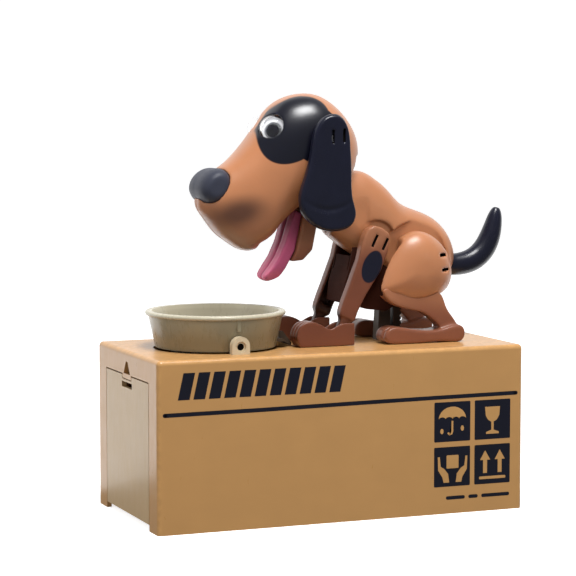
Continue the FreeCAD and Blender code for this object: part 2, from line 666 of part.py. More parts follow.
def head_cavity():
    inner = barrel(HEAD, inset=2.2, trim=2)
    neck = poly_y([(-4.0, 118.0), (-4.0, 161.5), (14.0, 161.5), (32.0, 158.4), (32.0, 118.0)], -12.6, 12.6)
    tongue_bay = poly_y([(-27.4, 110.0), (-27.4, 121.5), (-22.0, 133.0), (-14.0, 143.0), (6.0, 143.0),
                         (6.0, 110.0)], -8.5, 8.5)
    jaw_bay = poly_y([(-20.5, 110.0), (-20.5, 126.0), (-14.0, 143.0), (-2.0, 150.0), (6.0, 150.0),
                      (6.0, 110.0)], -10.6, 10.6)
    return [inner, neck, tongue_bay, jaw_bay]


def head_half(side):
    outer = barrel(HEAD)
    body = outer.common(box(-70, 40, -30, -0.01, 100, 200))
    for c in head_cavity():
        body = body.cut(c)
    bosses = cyl_y(NECK[0], NECK[1], 4.0, -20.0, -12.7).common(outer)
    bosses = bosses.fuse(cyl_y(JAW[0], JAW[1], 3.4, -18.0, -10.8).common(outer))
    body = body.fuse(bosses)
    body = body.cut(nose_solid())
    body = body.cut(Part.makeSphere(EYE_R, V(*EYE)))
    body = body.cut(cyl_y(NECK[0], NECK[1], 1.5, -14.6, 0))
    body = body.cut(cyl_y(JAW[0], JAW[1], 1.5, -14.6, 0))
    body = body.cut(cyl_y(EAR_PIVOT[0], EAR_PIVOT[1], 1.6, -30, -14))
    body = body.removeSplitter()
    solid = max(body.Solids, key=lambda s: s.Volume)
    return solid if side < 0 else mirrored(solid)


def both(shape):
    return Part.makeCompound([shape, mirrored(shape)])


def make_eye_domes():
    c = V(*EYE)
    body = Part.makeSphere(EYE_R, c).cut(Part.makeSphere(EYE_R - 0.9, c))
    axis = V(EYE_DIR)
    axis.normalize()
    front = Part.makeCylinder(12, 12, c + axis * 0.6, axis)
    return both(body.common(front))


def make_eye_discs():
    c = V(*EYE)
    axis = V(EYE_DIR)
    axis.normalize()
    return both(Part.makeCylinder(EYE_R - 1.25, 1.0, c + axis * 0.2, axis))


def make_pupils():
    c = V(*EYE)
    axis = V(EYE_DIR)
    axis.normalize()
    return both(Part.makeCylinder(2.9, 0.7, c + axis * 1.6 + V(0, 0, -1.0), axis))


EAR = [
    (2.0, 179.5), (-3.5, 177.6), (-7.2, 172.4), (-8.8, 165.0), (-10.4, 157.0), (-12.8, 149.5),
    (-14.6, 142.0), (-13.2, 136.0), (-8.6, 131.0), (-2.0, 128.0), (5.0, 128.0), (10.4, 130.4),
    (12.2, 134.5), (11.0, 140.5), (10.0, 149.0), (9.9, 158.0), (9.4, 166.0), (8.6, 172.5),
    (6.2, 177.4),
]


def make_ear(side):
    levels = [(-21.4, 0.965), (-22.2, 1.0), (-24.6, 1.0), (-25.9, 0.955)]
    body = pillow(EAR, (0.0, 153.0), levels)
    for x in (0.9, 6.2):
        body = body.cut(box(x - 0.6, x + 0.6, -30, -24.6, 166.6, 172.8))
    body = body.cut(cyl_y(EAR_PIVOT[0], EAR_PIVOT[1], 1.6 + PIN_FIT, -24.4, -10))
    return body if side < 0 else mirrored(body)


def make_ear_pins():
    return both(cyl_y(EAR_PIVOT[0], EAR_PIVOT[1], 1.6, -24.2, -14.6).cut(
        barrel(HEAD, inset=2.2, trim=2)))


def make_lower_jaw():
    line = [(-6.4, 135.0), (-8.0, 127.0), (-10.0, 118.0), (-12.6, 113.4), (-7.0, 113.8), (-2.2, 118.6),
            (-1.0, 125.0), (0.6, 132.0), (4.4, 136.6), (5.2, 140.4), (2.4, 143.2), (-2.4, 142.0)]
    body = poly_y(line, -9.6, 9.6)
    hollow = poly_y([(-5.0, 134.0), (-6.4, 127.0), (-8.0, 119.5), (-6.4, 117.0), (-3.6, 120.0), (-2.6, 125.5),
                     (-1.0, 133.0), (3.0, 150.0), (-6.0, 150.0)], -8.0, 8.0)
    body = body.cut(hollow)
    body = body.cut(cyl_y(JAW[0], JAW[1], 1.5 + PIN_FIT, -20, 20))
    return body.removeSplitter()


def make_jaw_pin():
    return cyl_y(JAW[0], JAW[1], 1.5, -14.5, 14.5)


def make_tongue():
    front = [(-10.0, 136.5), (-12.6, 128.5), (-14.6, 122.0), (-17.6, 115.5), (-21.4, 110.0), (-24.4, 106.4)]
    back = [(-21.6, 103.6), (-17.0, 106.2), (-13.4, 112.4), (-10.2, 118.2), (-8.2, 127.0), (-6.7, 135.2)]
    body = poly_y(front + back, -7.9, 7.9)
    ends = [e for e in body.Edges if e.BoundBox.YLength > 15 and e.BoundBox.ZMax < 108]
    body = body.makeFillet(1.2, ends)
    tip = box(-40, 10, -20, 20, 112.0, 150).fuse(
        Part.makeCylinder(7.9, 60, V(-40, 0, 112.0), V(1, 0, 0)))
    body = body.common(tip)
    groove = poly_y([(x - 0.5, z) for x, z in front[:5]] + [(x + 0.7, z) for x, z in reversed(front[:5])],
                    -0.7, 0.7)
    return body.cut(groove).removeSplitter()


# ---- write the parts ----------------------------------------------------
NODES = {
    "box_shell": make_box_shell(),
    "base_plate": make_base_plate(),
    "battery_cover": make_battery_cover(),
    "batteries": make_batteries(),
    "battery_contacts": make_battery_contacts(),
    "base_screws": make_base_screws(),
    "coin_door": make_coin_door(),
    "coin_divider": make_coin_divider(),
    "bowl": make_bowl(),
    "bowl_spout": make_bowl_spout(),
    "bowl_pins": make_bowl_pins(),
    "bowl_brackets": make_bowl_brackets(),
    "bowl_weight": make_bowl_weight(),
    "cam_gear": make_cam_gear(),
    "idler_gear": make_idler_gear(),
    "motor_rotor": make_motor_rotor(),
    "motor": make_motor(),
    "motor_clamp": make_motor_clamp(),
    "gear_plate_near": make_gear_plate_near(),
    "gear_plate_far": make_gear_plate_far(),
    "gear_shafts": make_gear_shafts(),
    "rod_guide": make_rod_guide(),
    "push_rod": make_push_rod(),
    "rod_roller": make_rod_roller(),
    "support_post": make_support_post(),
    "circuit_board": make_circuit_board(),
    "board_posts": make_board_posts(),
    "belly_cover": make_belly_cover(),
    "drive_pin": make_drive_pin(),
    "hip_pin": make_hip_pin(),
    "neck_pin": make_neck_pin(),
    "shoulder_pin": make_shoulder_pin(),
    "tail": make_tail(),
    "nose": nose_solid(),
    "eye_domes": make_eye_domes(),
    "eye_discs": make_eye_discs(),
    "pupils": make_pupils(),
    "ear_pins": make_ear_pins(),
    "lower_jaw": make_lower_jaw(),
    "jaw_pin": make_jaw_pin(),
    "tongue": make_tongue(),
}
for label, side in (("near", -1), ("far", 1)):
    NODES["thigh_" + label] = make_thigh(side)
    NODES["hind_leg_" + label] = make_hind_leg(side)
    NODES["paw_" + label] = make_paw(side)
    NODES["front_leg_" + label] = make_front_leg(side)
    NODES["torso_" + label] = torso_half(side)
    NODES["head_" + label] = head_half(side)
    NODES["ear_" + label] = make_ear(side)

for name, shape in NODES.items():
    shape.exportStep("parts/" + name + ".step")
    print(name, shape.isValid(), len(shape.Solids), round(shape.Volume / 1000, 2))
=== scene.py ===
import math
import bmesh
import bpy
import numpy as np
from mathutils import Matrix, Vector


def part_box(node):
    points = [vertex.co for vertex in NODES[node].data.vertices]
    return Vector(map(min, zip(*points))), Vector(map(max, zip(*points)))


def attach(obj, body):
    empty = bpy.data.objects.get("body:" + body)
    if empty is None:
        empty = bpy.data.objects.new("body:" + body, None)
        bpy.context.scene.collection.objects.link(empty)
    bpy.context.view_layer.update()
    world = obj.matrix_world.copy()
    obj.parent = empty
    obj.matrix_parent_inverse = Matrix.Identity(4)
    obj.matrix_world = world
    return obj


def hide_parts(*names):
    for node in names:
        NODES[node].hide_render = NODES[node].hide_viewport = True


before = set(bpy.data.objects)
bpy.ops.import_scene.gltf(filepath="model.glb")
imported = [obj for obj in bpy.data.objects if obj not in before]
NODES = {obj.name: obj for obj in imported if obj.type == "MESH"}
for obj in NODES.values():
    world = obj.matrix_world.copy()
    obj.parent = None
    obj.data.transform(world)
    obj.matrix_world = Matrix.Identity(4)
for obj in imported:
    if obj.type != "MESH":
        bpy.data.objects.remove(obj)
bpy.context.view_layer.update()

MM = 0.001
# in millimetres: the printed face's y, the shoulder pin's x and z, and the middle of the near eye
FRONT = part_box("box_shell")[0].y / MM
SHOULDER = (28.0, 122.0)
EYE = (-20.3, -7.5, 172.6)
EYE_DIR = Vector((-0.60, -0.74, 0.30)).normalized()
# inner wall of the bowl: radius at its underside in metres, and its growth per metre of height
BOWL_R_LOW = 0.0272
BOWL_FLARE = 0.2125
# in millimetres: how far the ink stands out of the face, the lighter marks on it, and how deep both start
INK_PROUD = 0.035
ART_PROUD = 0.07
INK_SUNK = 0.05


# ---- node helpers -------------------------------------------------------
class Mat:
    """A procedural principled material, built up from small node pieces."""

    def __init__(self, name):
        self.mat = bpy.data.materials.new(name)
        self.mat.use_nodes = True
        self.t = self.mat.node_tree
        self.t.nodes.clear()
        self.out = self.t.nodes.new("ShaderNodeOutputMaterial")
        self.b = self.t.nodes.new("ShaderNodeBsdfPrincipled")
        self.t.links.new(self.b.outputs[0], self.out.inputs[0])
        self.co = self.t.nodes.new("ShaderNodeTexCoord").outputs["Object"]

    def link(self, a, b):
        self.t.links.new(a, b)

    def put(self, node_input, value):
        if hasattr(value, "links"):
            self.link(value, node_input)
        else:
            node_input.default_value = value

    def noise(self, scale, detail=3.0, rough=0.5, stretch=None):
        n = self.t.nodes.new("ShaderNodeTexNoise")
        n.inputs["Scale"].default_value = scale
        n.inputs["Detail"].default_value = detail
        n.inputs["Roughness"].default_value = rough
        if stretch:
            m = self.t.nodes.new("ShaderNodeMapping")
            m.inputs["Scale"].default_value = stretch
            self.link(self.co, m.inputs["Vector"])
            self.link(m.outputs[0], n.inputs["Vector"])
        else:
            self.link(self.co, n.inputs["Vector"])
        return n.outputs["Fac"]

    def ramp(self, fac, lo, hi, a=0.0, b=1.0, kind="LINEAR"):
        """a at lo, b at hi, a straight or eased line between and no change beyond."""
        n = self.t.nodes.new("ShaderNodeMapRange")
        n.interpolation_type = kind
        self.put(n.inputs[0], fac)
        for i, value in enumerate((lo, hi, a, b), 1):
            n.inputs[i].default_value = value
        return n.outputs[0]

    def smooth(self, fac, lo, hi, a=0.0, b=1.0):
        return self.ramp(fac, lo, hi, a, b, "SMOOTHSTEP")

    def math(self, op, a, b=0.0):
        n = self.t.nodes.new("ShaderNodeMath")
        n.operation = op
        self.put(n.inputs[0], a)
        self.put(n.inputs[1], b)
        return n.outputs[0]

    def mix(self, fac, a, b):
        n = self.t.nodes.new("ShaderNodeMix")
        n.data_type = "RGBA"
        self.put(n.inputs[0], fac)
        self.put(n.inputs[6], a if hasattr(a, "links") else (*a, 1.0))
        self.put(n.inputs[7], b if hasattr(b, "links") else (*b, 1.0))
        return n.outputs[2]

    def xyz(self):
        n = self.t.nodes.new("ShaderNodeSeparateXYZ")
        self.link(self.co, n.inputs[0])
        return n.outputs[0], n.outputs[1], n.outputs[2]

    def length(self, *parts):
        """Length of the vector with these parts."""
        total = self.math("MULTIPLY", parts[0], parts[0])
        for part in parts[1:]:
            total = self.math("ADD", total, self.math("MULTIPLY", part, part))
        return self.math("SQRT", total)

    def bump(self, *layers):
        """Stacked bumps: height, strength and distance of each."""
        last = None
        for height, strength, distance in layers:
            n = self.t.nodes.new("ShaderNodeBump")
            n.inputs["Strength"].default_value = strength
            n.inputs["Distance"].default_value = distance
            self.link(height, n.inputs["Height"])
            if last:
                self.link(last, n.inputs["Normal"])
            last = n.outputs[0]
        self.link(last, self.b.inputs["Normal"])

    def blob(self, cx, cz, rx, rz, tilt=0.0, soft=0.15):
        """1 inside an ellipse on the XZ plane, 0 outside, in millimetres and degrees."""
        x, _, z = self.xyz()
        cos = math.cos(math.radians(tilt))
        sin = math.sin(math.radians(tilt))
        dx = self.math("SUBTRACT", x, cx * MM)
        dz = self.math("SUBTRACT", z, cz * MM)
        u = self.math("ADD", self.math("MULTIPLY", dx, cos), self.math("MULTIPLY", dz, sin))
        v = self.math("SUBTRACT", self.math("MULTIPLY", dz, cos), self.math("MULTIPLY", dx, sin))
        uu = self.math("POWER", self.math("DIVIDE", u, rx * MM), 2.0)
        vv = self.math("POWER", self.math("DIVIDE", v, rz * MM), 2.0)
        d = self.math("SQRT", self.math("ADD", uu, vv))
        return self.smooth(d, 1.0 - soft, 1.0 + soft, 1.0, 0.0)


def plastic(name, color, rough=0.35, vary=0.12, grain=0.12, coat=0.0, sss=0.0, spec=0.5):
    """Moulded plastic with a slight mottle, fine grain and long scuffs. m.base is its colour, to build on."""
    m = Mat(name)
    big = m.noise(60.0, 4.0)
    fine = m.noise(1800.0, 2.0)
    scuff = m.noise(420.0, 5.0, 0.7, (1.0, 1.0, 0.25))
    dark = tuple(c * (1.0 - vary) for c in color)
    light = tuple(min(1.0, c * (1.0 + vary)) for c in color)
    m.base = m.mix(m.ramp(big, 0.3, 0.7), dark, light)
    m.link(m.base, m.b.inputs["Base Color"])
    m.link(m.ramp(scuff, 0.3, 0.75, rough - 0.05, rough + 0.09), m.b.inputs["Roughness"])
    m.b.inputs["IOR"].default_value = 1.49
    m.b.inputs["Specular IOR Level"].default_value = spec
    m.b.inputs["Coat Weight"].default_value = coat
    m.b.inputs["Coat Roughness"].default_value = 0.12
    if sss:
        m.b.inputs["Subsurface Weight"].default_value = sss
        m.b.inputs["Subsurface Radius"].default_value = (0.004, 0.002, 0.001)
        m.b.inputs["Subsurface Scale"].default_value = 0.6
    m.bump((fine, grain, 0.00005), (scuff, grain * 0.5, 0.00008))
    return m


def metal(name, color, rough=0.3, stretch=(1.0, 12.0, 1.0)):
    """Brushed metal; the brush lines run across the stretched axis."""
    m = Mat(name)
    brush = m.noise(900.0, 4.0, 0.6, stretch)
    big = m.noise(90.0, 3.0)
    m.link(m.mix(m.ramp(big, 0.3, 0.7), tuple(c * 0.86 for c in color), color), m.b.inputs["Base Color"])
    m.b.inputs["Metallic"].default_value = 1.0
    m.link(m.ramp(brush, 0.3, 0.7, rough - 0.08, rough + 0.1), m.b.inputs["Roughness"])
    m.bump((brush, 0.15, 0.00004))
    return m


# ---- mesh helpers -------------------------------------------------------
def evaluated(ob):
    """Turns the object's modifiers into its mesh."""
    deps = bpy.context.evaluated_depsgraph_get()
    me = bpy.data.meshes.new_from_object(ob.evaluated_get(deps))
    old = ob.data
    ob.modifiers.clear()
    ob.data = me
    bpy.data.meshes.remove(old)
    return ob


CUBE = ((-1, -1, -1), (1, -1, -1), (1, 1, -1), (-1, 1, -1), (-1, -1, 1), (1, -1, 1), (1, 1, 1), (-1, 1, 1))
CUBE_FACES = ((0, 3, 2, 1), (4, 5, 6, 7), (0, 1, 5, 4), (1, 2, 6, 5), (2, 3, 7, 6), (3, 0, 4, 7))


def slot_cutter(boxes):
    """One mesh of closed boxes: centre, half sizes and a turn about Y, in millimetres and degrees."""
    verts = []
    faces = []
    for (cx, cy, cz), (hx, hy, hz), turn in boxes:
        a = math.radians(turn)
        start = len(verts)
        for sx, sy, sz in CUBE:
            u = sx * hx
            v = sz * hz
            verts.append(((cx + u * math.cos(a) + v * math.sin(a)) * MM, (cy + sy * hy) * MM,
                          (cz - u * math.sin(a) + v * math.cos(a)) * MM))
        faces.extend(tuple(start + k for k in q) for q in CUBE_FACES)
    me = bpy.data.meshes.new("cutter")
    me.from_pydata(verts, [], faces)
    ob = bpy.data.objects.new("cutter", me)
    bpy.context.scene.collection.objects.link(ob)
    return ob


def organic(name, nodes, mat, body, voxel=0.45, rounds=10, sculpt=None, slots=None):
    """A dense, softly rounded skin grown from the CAD solids' own surface.

    voxel is its grain in millimetres and rounds how often it is smoothed. sculpt then moves its
    points, and slots are boxes for slot_cutter, cut last.
    """
    verts = []
    faces = []
    for n in nodes:
        me = NODES[n].data
        start = len(verts)
        verts.extend(tuple(v.co) for v in me.vertices)
        faces.extend(tuple(start + i for i in p.vertices) for p in me.polygons)
    me = bpy.data.meshes.new(name)
    me.from_pydata(verts, [], faces)
    bm = bmesh.new()
    bm.from_mesh(me)
    bmesh.ops.remove_doubles(bm, verts=bm.verts, dist=1e-6)
    bm.to_mesh(me)
    bm.free()
    ob = bpy.data.objects.new(name, me)
    bpy.context.scene.collection.objects.link(ob)
    rm = ob.modifiers.new("skin", "REMESH")
    rm.mode = "VOXEL"
    rm.voxel_size = voxel * MM * 1.0
    sm = ob.modifiers.new("soft", "SMOOTH")
    sm.factor = 0.5
    sm.iterations = rounds
    bpy.context.view_layer.update()
    evaluated(ob)
    me = ob.data
    me.materials.clear()
    me.materials.append(mat)
    if sculpt:
        n = len(me.vertices)
        co = np.empty(n * 3, np.float32)
        me.vertices.foreach_get("co", co)
        no = np.empty(n * 3, np.float32)
        me.vertices.foreach_get("normal", no)
        co = co.reshape(-1, 3) / MM
        new = sculpt(co.astype(float), no.reshape(-1, 3).astype(float)) * MM
        me.vertices.foreach_set("co", new.astype(np.float32).ravel())
        me.update()
    if slots:
        # painted shade: the walls cut by the slots are given the near-black slot shade
        me.materials.append(M["hole"])
        cutter = slot_cutter(slots)
        cutter.data.materials.append(M["hole"])
        cut = ob.modifiers.new("slots", "BOOLEAN")
        cut.operation = "DIFFERENCE"
        cut.solver = "EXACT"
        cut.material_mode = "TRANSFER"
        cut.object = cutter
        bpy.context.view_layer.update()
        evaluated(ob)
        old = cutter.data
        bpy.data.objects.remove(cutter)
        bpy.data.meshes.remove(old)
        me = ob.data
    me.polygons.foreach_set("use_smooth", [True] * len(me.polygons))
    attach(ob, body)
    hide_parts(*nodes)
    return ob


def cad_look(mat, *nodes):
    """Gives CAD nodes that stay visible their material."""
    for n in nodes:
        me = NODES[n].data
        me.materials.clear()
        me.materials.append(mat)


# ---- materials ----------------------------------------------------------
TAN = (0.50, 0.205, 0.092)
BROWN = (0.175, 0.057, 0.030)
HIND_BROWN = (0.235, 0.082, 0.043)
NAVY = (0.006, 0.007, 0.019)
LEG_PALE = (0.44, 0.185, 0.092)
PATCH_COLOR = (0.0035, 0.004, 0.011)
# ellipses for Mat.blob: centre x, z, half sizes x, z and tilt
PATCH = ((-12.8, 172.5, 18.5, 11.9, 40.8), (-4.0, 170.5, 12.0, 13.0, 0.0))
CHIN = (-39.2, 136.0, 10.2, 5.6, 12.0)
LEG_OVAL = (23.6, 110.6, 4.7, 7.6, -22.0)
# heights in metres over which a leg fades up to the body's tan, and down to a darker foot
FRONT_FADE = (0.112, 0.127)
HIND_FADE = (0.086, 0.098)
FOOT_FADE = (0.098, 0.080)
# where the front legs' outer and inner faces set in, in metres from the middle plane
LEG_OUTER = (0.0164, 0.0168)
LEG_INNER = (0.0162, 0.0156)
# across the front leg from its shoulder, as a unit vector on the XZ plane
LEG_ACROSS = (0.900, -0.435)
# painted shade in the hollow on the inner face, in metres: half its width, soft over this range, and its
# shift
HOLLOW_EDGE = (0.0034, 0.0040)
HOLLOW_SHIFT = 0.0004


def dog_tan(name, marks=False):
    """Glossy tan of the body; marks adds the head's shaded chin and the dark patch over the near eye."""
    m = plastic(name, TAN, 0.36, 0.05, 0.10, coat=0.45, sss=0.05)
    m.b.inputs["Coat Roughness"].default_value = 0.3
    if marks:
        _, y, z = m.xyz()
        spot = m.math("MULTIPLY", m.blob(*CHIN, 0.75), 0.86)
        col = m.mix(spot, m.base, (0.045, 0.018, 0.014))
        low = m.smooth(z, 0.146, 0.122, 0.0, 0.45)
        col = m.mix(low, col, (0.21, 0.085, 0.045))
        near = m.smooth(y, -0.0016, -0.0011, 1.0, 0.0)
        ovals = m.math("MAXIMUM", m.blob(*PATCH[0], 0.02), m.blob(*PATCH[1], 0.02))
        mask = m.math("MULTIPLY", ovals, near)
        m.link(m.mix(mask, col, PATCH_COLOR), m.b.inputs["Base Color"])
        m.link(m.math("SUBTRACT", 0.34, m.math("MULTIPLY", mask, 0.06)), m.b.inputs["Roughness"])
    return m.mat


def leg_brown(name, front=False, color=BROWN, fade=FRONT_FADE):
    """Brown sprayed over the tan from the foot up; front adds the dark oval and painted shade in the inner
    hollow.
    """
    m = plastic(name, color, 0.38, 0.08, 0.10, coat=0.25, sss=0.04, spec=0.4)
    m.b.inputs["Coat Roughness"].default_value = 0.28
    x, y, z = m.xyz()
    col = m.mix(m.smooth(z, *fade, 0.0, 0.75), m.base, LEG_PALE)
    col = m.mix(m.smooth(z, *FOOT_FADE, 0.0, 0.3), col, tuple(c * 0.7 for c in color))
    if front:
        away = m.math("ABSOLUTE", y)
        dx = m.math("SUBTRACT", x, SHOULDER[0] * MM)
        dz = m.math("SUBTRACT", z, SHOULDER[1] * MM)
        across = m.math("ADD", m.math("MULTIPLY", dx, LEG_ACROSS[0]), m.math("MULTIPLY", dz, LEG_ACROSS[1]))
        off = m.math("ABSOLUTE", m.math("ADD", across, HOLLOW_SHIFT))
        # painted shade: the middle of the inner face is darkened where the hollow lies in shadow
        inner = m.math("MULTIPLY", m.smooth(away, *LEG_INNER), m.smooth(off, *HOLLOW_EDGE, 0.85, 0.0))
        oval = m.math("MULTIPLY", m.blob(*LEG_OVAL, 0.05), m.smooth(away, *LEG_OUTER))
        col = m.mix(inner, col, (0.03, 0.011, 0.007))
        col = m.mix(oval, col, NAVY)
    m.link(col, m.b.inputs["Base Color"])
    return m.mat


def tongue_pink():
    """Pink, with painted shade on its sides and along the groove down the middle."""
    m = plastic("tongue pink", (0.66, 0.15, 0.26), 0.4, 0.06, 0.12, sss=0.1, spec=0.25)
    _, y, _ = m.xyz()
    away = m.math("ABSOLUTE", y)
    # painted shade: darker pink on the sides turned from the light and in the middle groove
    rim = m.smooth(away, 0.0062, 0.0084, 0.0, 0.75)
    line = m.smooth(away, 0.0012, 0.0003, 0.0, 0.45)
    col = m.mix(m.math("MAXIMUM", rim, line), m.base, (0.28, 0.045, 0.11))
    m.link(col, m.b.inputs["Base Color"])
    return m.mat


def box_tan(name, color, rough):
    """Satin moulded plastic with faint flow streaks and slightly paler edges, part wear and part painted
    highlight.
    """
    m = plastic(name, color, rough, 0.025, 0.06, coat=0.12)
    streak = m.noise(28.0, 5.0, 0.6, (1.0, 1.0, 4.0))
    col = m.mix(m.ramp(streak, 0.35, 0.7, 0.0, 0.08), m.base, tuple(c * 0.72 for c in color))
    x, y, z = m.xyz()
    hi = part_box("box_shell")[1]
    # distance to each pair of faces; a point is near an edge where two of them are small
    gaps = [m.math("SUBTRACT", hi[i], m.math("ABSOLUTE", v)) for i, v in ((0, x), (1, y), (2, z))]
    edge_gap = m.math("ADD", m.math("MINIMUM", gaps[0], gaps[2]), m.math("MINIMUM", gaps[1], gaps[2]))
    # paler edges: a painted highlight along the fillets, made patchy like rubbed wear
    edge = m.smooth(edge_gap, 0.0022, 0.0006, 0.0, 0.5)
    wear_and_sheen = m.ramp(m.noise(240.0, 4.0, 0.7), 0.42, 0.6)
    col = m.mix(m.math("MULTIPLY", edge, wear_and_sheen), col, tuple(min(1.0, c * 1.35) for c in color))
    m.link(col, m.b.inputs["Base Color"])
    return m.mat


def eye_silver():
    """Silvered backing of the eye, greyer towards a dark ring set low in it."""
    m = plastic("eye silver", (0.74, 0.74, 0.77), 0.2, 0.05, 0.04, coat=0.5)
    x, y, z = m.xyz()
    disc_mid = Vector(EYE) * MM + EYE_DIR * 0.0012
    ring_drop = 0.0008
    dx = m.math("SUBTRACT", x, disc_mid.x)
    dy = m.math("SUBTRACT", m.math("ABSOLUTE", y), -disc_mid.y)
    dz = m.math("SUBTRACT", z, disc_mid.z - ring_drop)
    r = m.length(dx, dy, dz)
    ring = m.smooth(r, 0.0044, 0.0036, 0.0, 0.9)
    edge = m.smooth(r, 0.0046, 0.0056, 0.0, 0.6)
    col = m.mix(edge, m.base, (0.3, 0.3, 0.33))
    col = m.mix(ring, col, (0.06, 0.065, 0.075))
    m.link(col, m.b.inputs["Base Color"])
    return m.mat


def bowl_khaki():
    """Grey-green plastic with painted light: paler towards the top, paler still inside the bowl and palest on
    the rolled rim.
    """
    m = plastic("bowl khaki", (0.21, 0.172, 0.102), 0.28, 0.05, 0.08, coat=0.15)
    x, y, z = m.xyz()
    lo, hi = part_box("bowl")
    # painted light: the upper wall, the inside and the rim are lightened where light falls on them
    up = m.smooth(z, hi.z - 0.012, hi.z - 0.003, 0.0, 0.55)
    rim = m.smooth(z, hi.z - 0.0026, hi.z - 0.0012, 0.0, 0.75)
    away = m.length(m.math("SUBTRACT", x, ((lo + hi) / 2).x), y)
    wall = m.math("ADD", BOWL_R_LOW, m.math("MULTIPLY", m.math("SUBTRACT", z, lo.z), BOWL_FLARE))
    inside = m.smooth(m.math("SUBTRACT", wall, away), 0.0008, 0.0014)
    col = m.mix(up, m.base, (0.40, 0.355, 0.24))
    col = m.mix(inside, col, (0.54, 0.50, 0.375))
    col = m.mix(rim, col, (0.64, 0.60, 0.46))
    m.link(col, m.b.inputs["Base Color"])
    return m.mat


def flat_dark(name, color=(0.004, 0.003, 0.003)):
    """Nearly black with hardly any shine: the pupils' own colour, and painted shade in slots and holes."""
    m = plastic(name, color, 0.8, 0.2, 0.1)
    m.b.inputs["Specular IOR Level"].default_value = 0.05
    return m.mat


def dome_clear():
    """Clear eye dome, near in index to air so that the pupil shows through."""
    m = Mat("eye dome clear")
    m.b.inputs["Base Color"].default_value = (1.0, 1.0, 1.0, 1.0)
    m.b.inputs["Transmission Weight"].default_value = 1.0
    m.b.inputs["IOR"].default_value = 1.22
    m.link(m.ramp(m.noise(300.0, 3.0), 0.3, 0.7, 0.02, 0.06), m.b.inputs["Roughness"])
    return m.mat


M = {
    "tan": dog_tan("dog tan"),
    "head": dog_tan("dog head", marks=True),
    "leg": leg_brown("dog leg"),
    "hind": leg_brown("dog hind leg", color=HIND_BROWN, fade=HIND_FADE),
    "leg_oval": leg_brown("dog leg with patch", front=True),
    "navy": plastic("ear navy", NAVY, 0.3, 0.15, 0.1, coat=0.1).mat,
    "nose": plastic("nose slate", (0.04, 0.044, 0.066), 0.46, 0.12, 0.12, spec=0.4).mat,
    "pink": tongue_pink(),
    "khaki": bowl_khaki(),
    "cream": plastic("boss cream", (0.6, 0.5, 0.34), 0.36, 0.05).mat,
    "olive": plastic("post olive", (0.075, 0.055, 0.04), 0.4, 0.1, spec=0.12).mat,
    "box": box_tan("box tan", (0.56, 0.30, 0.108), 0.32),
    "door": box_tan("door tan", (0.55, 0.37, 0.185), 0.38),
    "white": eye_silver(),
    "black": flat_dark("pupil black", (0.003, 0.003, 0.006)),
    "gear": plastic("gear nylon", (0.72, 0.7, 0.62), 0.45, 0.04).mat,
    "cell": plastic("cell jacket", (0.03, 0.1, 0.07), 0.25, 0.1, 0.05, coat=0.4).mat,
    "board": plastic("board green", (0.02, 0.16, 0.06), 0.35, 0.15).mat,
    "ink": plastic("printed ink", (0.004, 0.005, 0.014), 0.45, 0.15, 0.06).mat,
    "box_art": plastic("print ground", (0.57, 0.31, 0.11), 0.4, 0.05, 0.06).mat,
    "cover": plastic("cover brown", (0.045, 0.015, 0.010), 0.6, 0.15, 0.12, spec=0.02).mat,
    # painted shade for the slot walls and the bowl pins
    "hole": flat_dark("slot shade"),
    "steel": metal("steel", (0.62, 0.62, 0.64)).mat,
    "can": metal("motor can", (0.5, 0.5, 0.52), 0.34, (1.0, 1.0, 1.0)).mat,
    "clear": dome_clear(),
}

cad_look(M["box"], "box_shell", "base_plate", "battery_cover", "coin_divider",
         "board_posts", "motor_clamp")
cad_look(M["door"], "coin_door")
cad_look(M["khaki"], "bowl")
cad_look(M["olive"], "bowl_spout", "support_post", "push_rod", "rod_guide",
         "gear_plate_near", "gear_plate_far")
cad_look(M["cream"], "bowl_brackets")
# painted shade: the bowl pins take the near black of a shadowed hole
cad_look(M["hole"], "bowl_pins")
cad_look(M["steel"], "bowl_weight", "base_screws", "battery_contacts", "gear_shafts", "drive_pin",
         "hip_pin", "neck_pin", "shoulder_pin", "jaw_pin", "ear_pins", "motor_rotor")
cad_look(M["can"], "motor")
cad_look(M["gear"], "cam_gear", "idler_gear", "rod_roller")
cad_look(M["cell"], "batteries")
cad_look(M["board"], "circuit_board")
cad_look(M["white"], "eye_discs")
cad_look(M["black"], "pupils")
cad_look(M["clear"], "eye_domes")
cad_look(M["cover"], "belly_cover")


# ---- dog skins ----------------------------------------------------------
# Each sculpt function takes points in millimetres with their normals and gives the points back moved.
def bell(d, width):
    """1 where d is 0, falling away smoothly on both sides."""
    return np.exp(-(d / width) ** 2)


def sculpt_head(co, no):
    """Parting line down the front of the muzzle, below the nose."""
    x, y, z = co.T
    muzzle_x = -30.0
    nose_z = 141.0
    front = 1.0 / (1.0 + np.exp((x - muzzle_x) / 2.0))
    low = 1.0 / (1.0 + np.exp((z - nose_z) / 1.5))
    seam = -0.38 * bell(y, 0.42) * front * low
    return co + no * seam[:, None]


def sculpt_torso(co, no):
    """Parting line along the back and a fuller hump behind the neck."""
    x, y, _ = co.T
    hump_x = 25.0
    seam = -0.3 * bell(y, 0.4)
    upward = np.clip(no[:, 2] * 1.6 - 0.2, 0, 1)
    hump = 1.3 * bell(x - hump_x, 5.5) * bell(y, 11.0) * upward
    return co + no * (seam + hump)[:, None]


